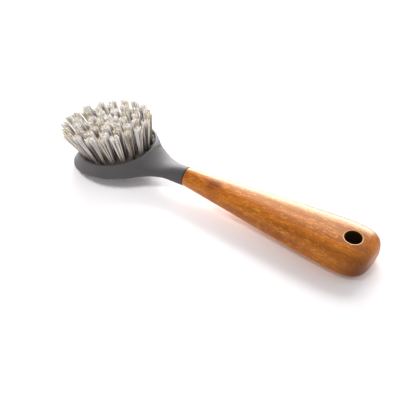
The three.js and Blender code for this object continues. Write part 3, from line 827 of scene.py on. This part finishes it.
nylon = Finish("bristle_nylon")
rod_colour = nylon.add("Attribute", attribute_name="filament_tone").outputs["Color"]
rod_along = nylon.add("Attribute", attribute_name="filament_along").outputs["Fac"]
# Painted shade: the rods darken towards the root, where the tuft is tight.
at_root = nylon.steps(rod_along, ROOT_SHADE_END, ROOT_SHADE_START)
at_cut = nylon.steps(rod_along, CUT_START, 1.0)
shaded = nylon.blend(at_root, rod_colour, colour(122, 108, 96), how="MULTIPLY")
shaded = nylon.blend(at_cut, shaded, colour(200, 192, 178), how="MULTIPLY")
nylon.set(Base_Color=shaded, Roughness=0.38, Subsurface_Weight=0.35, Subsurface_Scale=0.001,
          Subsurface_Radius=(1.0, 0.9, 0.8), Specular_IOR_Level=0.5)
for piece in bristles:
    piece.data.materials.append(nylon.material)
print("finished", nylon.material.name)

# %% [markdown]
# The staples stay as the CAD part made them, deep in their sockets. They are flat steel wire, drawn
# bright, so a metal with a little roughness is all that they need.

# %% Staple wire
wire = Finish("staple_wire")
scratches = wire.noise(wire.here(), Scale=4000.0)
wire.set(Base_Color=colour(190, 188, 184), Metallic=1.0, Roughness=wire.between(scratches, 0.25, 0.4))
staples = [node for name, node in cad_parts.items() if name.startswith("tuft_anchor")]
for staple in staples:
    staple.data.materials.clear()
    staple.data.materials.append(wire.material)
print("finished", len(staples), "staples")

# %% [markdown]
# The brush lies on a white sweep. The floor is a matt near-white that keeps the soft shadow. It has a
# little light of its own, seen by the camera and in reflections only, which grows with the distance from
# the brush, so that the far floor is as white as the page behind it.

# %% White floor
FLOOR_SIZE = 4.0
OWN_LIGHT, GLOW_START, GLOW_END = 0.06, 0.2, 0.9

floor_mesh = bpy.data.meshes.new("floor")
corner = np.array([[-1, -1, 0], [1, -1, 0], [1, 1, 0], [-1, 1, 0]]) * FLOOR_SIZE / 2
floor_mesh.from_pydata(corner.tolist(), [], [[0, 1, 2, 3]])
floor = bpy.data.objects.new("floor", floor_mesh)
bpy.context.scene.collection.objects.link(floor)

paper = Finish("white_paper")
rays = paper.add("LightPath").outputs
reflected = paper.math("MAXIMUM", rays["Is Glossy Ray"], rays["Is Transmission Ray"])
seen = paper.math("MAXIMUM", rays["Is Camera Ray"], reflected)
away = paper.add("VectorMath", {0: paper.here()}, operation="LENGTH").outputs["Value"]
own_light = paper.math("ADD", OWN_LIGHT, paper.steps(away, GLOW_START, GLOW_END))
paper.set(Base_Color=colour(254, 251, 253), Roughness=1.0, Specular_IOR_Level=0.0,
          Emission_Color=(1.0, 0.97, 0.99, 1.0), Emission_Strength=paper.math("MULTIPLY", seen, own_light))
floor_mesh.materials.append(paper.material)
print("floor", FLOOR_SIZE, "m square")

# %% [markdown]
# Round the floor is a white studio. The camera and reflections see it at full white, but it lights the
# brush with only about a quarter of that, because a fully white surround would wash the shadow out.

# %% White surround
SURROUND_LIGHT, SURROUND_WHITE = 0.27, 1.0

world = bpy.data.worlds.new("studio")
bpy.context.scene.world = world
world.use_nodes = True
sky = world.node_tree
ray = sky.nodes.new("ShaderNodeLightPath").outputs
most = sky.nodes.new("ShaderNodeMath")
most.operation = "MAXIMUM"
sky.links.new(ray["Is Camera Ray"], most.inputs[0])
sky.links.new(ray["Is Glossy Ray"], most.inputs[1])
level = sky.nodes.new("ShaderNodeMapRange")
level.inputs["To Min"].default_value = SURROUND_LIGHT
level.inputs["To Max"].default_value = SURROUND_WHITE
sky.links.new(most.outputs[0], level.inputs["Value"])
sky.links.new(level.outputs[0], sky.nodes["Background"].inputs["Strength"])
sky.nodes["Background"].inputs["Color"].default_value = (1, 1, 1, 1)
bpy.context.scene.view_settings.view_transform = "Standard"
print("surround", SURROUND_LIGHT, "to", SURROUND_WHITE)

# %% [markdown]
# A low panel behind the brush and a higher softbox throw the soft shadow towards the viewer. Two fills
# lift the sides that these leave dark, and a spot over the head makes the bristles bright. Each of them
# would put a highlight of its own on the wood, so none shows in reflections. The one long creamy
# highlight on the handle's far edge comes from a wide strip behind, which shows in reflections only.

# %% Lamps
SPOT_PLACE, SPOT_AIM = (-0.08, -0.43, 0.85), (-0.09, -0.03, 0.0)


def hang(light, spot, aim=(0, 0, 0)):
    """The holder of a lamp at a spot in metres, turned to face its aim."""
    holder = bpy.data.objects.new(light.name, light)
    bpy.context.scene.collection.objects.link(holder)
    holder.location = spot
    holder.rotation_euler = (Vector(aim) - Vector(spot)).to_track_quat("-Z", "Y").to_euler()
    print(light.name, round(light.energy, 1), "W")
    return holder


def lamp(name, spot, wide, high, watts, lights=True, reflects=True):
    """A soft lamp of a width and height in metres, facing the middle of the floor. One that does not
    reflect makes no highlight, and one that does not light shows as a highlight only."""
    light = bpy.data.lights.new(name, "AREA")
    light.shape = "RECTANGLE"
    light.size, light.size_y = wide, high
    light.energy = watts
    holder = hang(light, spot)
    holder.visible_diffuse, holder.visible_glossy = lights, reflects


lamp("back_panel", (-0.64, 1.03, 0.36), 0.9, 0.6, 9.0, reflects=False)
lamp("back_strip", (-0.6, 1.05, 0.42), 1.8, 0.75, 54.0, lights=False)
lamp("back_softbox", (-0.16, 0.89, 0.87), 0.9, 0.45, 11.5, reflects=False)
lamp("left_fill", (-1.03, -0.64, 0.3), 0.9, 0.45, 4.4, reflects=False)
lamp("right_fill", (0.88, 0.55, 0.7), 1.4, 1.0, 6.0, reflects=False)

cone = bpy.data.lights.new("head_spot", "SPOT")
cone.energy = 29.0
cone.spot_size = radians(22)
cone.spot_blend = 1.0
cone.shadow_soft_size = 0.15
hang(cone, SPOT_PLACE, SPOT_AIM).visible_glossy = False

# %% [markdown]
# The camera stands off the butt end at the front, a little under a metre away, and looks down with a
# long lens. Its place is given from the rim's centre, the best fixed mark on the brush.

# %% Camera
CAMERA_AZIMUTH, CAMERA_ELEVATION, CAMERA_DISTANCE = radians(32.0), radians(41.0), 928
AIM_FROM_RIM = np.array([64.64, 8.71, -30.9])
LENS, SENSOR_WIDTH = 115.45, 36

level_reach = np.cos(CAMERA_ELEVATION)
backwards = np.array([np.sin(CAMERA_AZIMUTH) * level_reach, -np.cos(CAMERA_AZIMUTH) * level_reach,
                      np.sin(CAMERA_ELEVATION)])
eye = rim_centre + AIM_FROM_RIM + CAMERA_DISTANCE * backwards
view = bpy.data.cameras.new("camera")
view.sensor_width = SENSOR_WIDTH
view.lens = LENS
camera = bpy.data.objects.new("camera", view)
bpy.context.scene.collection.objects.link(camera)
camera.location = eye * MM
camera.rotation_euler = Vector(-backwards).to_track_quat("-Z", "Y").to_euler()
bpy.context.scene.camera = camera
print("camera at", eye.round(1), "mm")
